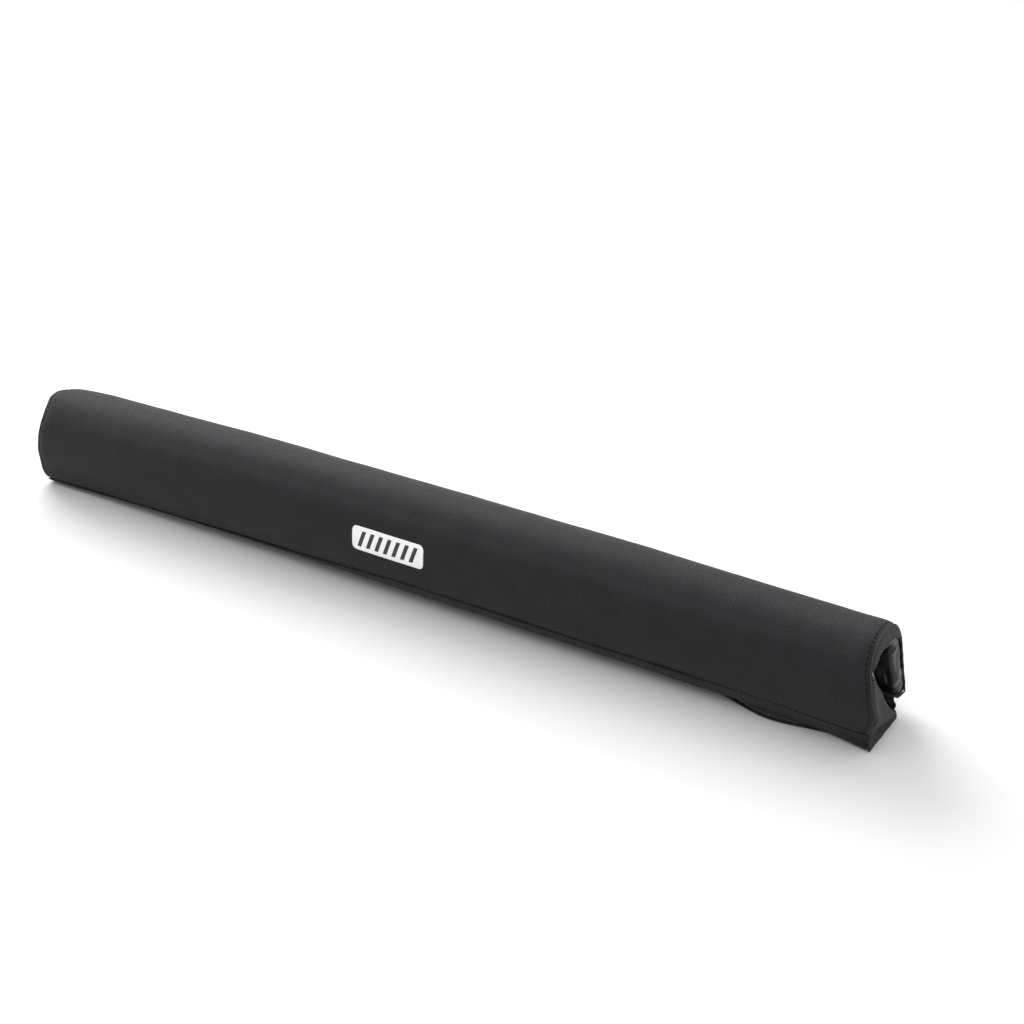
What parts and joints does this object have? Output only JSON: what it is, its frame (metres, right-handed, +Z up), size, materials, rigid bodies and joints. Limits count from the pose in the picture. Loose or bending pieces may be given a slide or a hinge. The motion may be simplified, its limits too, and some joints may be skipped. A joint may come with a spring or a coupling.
{
  "type": "roof rack pad",
  "caption": "Long padded cloth sleeve that wraps a roof rack's cross bar and closes below it with hook and loop flaps.",
  "frame": {"origin": "under the middle of the pad, on the flat underside of its closed flaps", "axes": "+X along the pad, +Y to its back, where the slack flap is, +Z up through its crown"},
  "size_m": [0.7272, 0.0724, 0.082],
  "materials": {
    "cover_cloth": "matt black plain-woven polyester with a faint sheen",
    "foam": "closed-cell foam",
    "lining_cloth": "thin black coated cloth, slightly glossy",
    "ribbed_cloth": "matt black ribbed cloth",
    "flap_cloth": "matt black woven polyester",
    "tape": "black nylon hook and loop",
    "print_film": "white printed film, satin"
  },
  "bodies": {
    "root": {"outer_cover": "cover_cloth", "foam_core": "foam", "inner_lining": "lining_cloth", "end_panel_left": "ribbed_cloth", "end_panel_right": "ribbed_cloth", "front_flap": "flap_cloth", "rear_flap": "flap_cloth", "loop_tape": "tape", "hook_tape": "tape", "printed_mark": "print_film"}
  },
  "joints": []
}
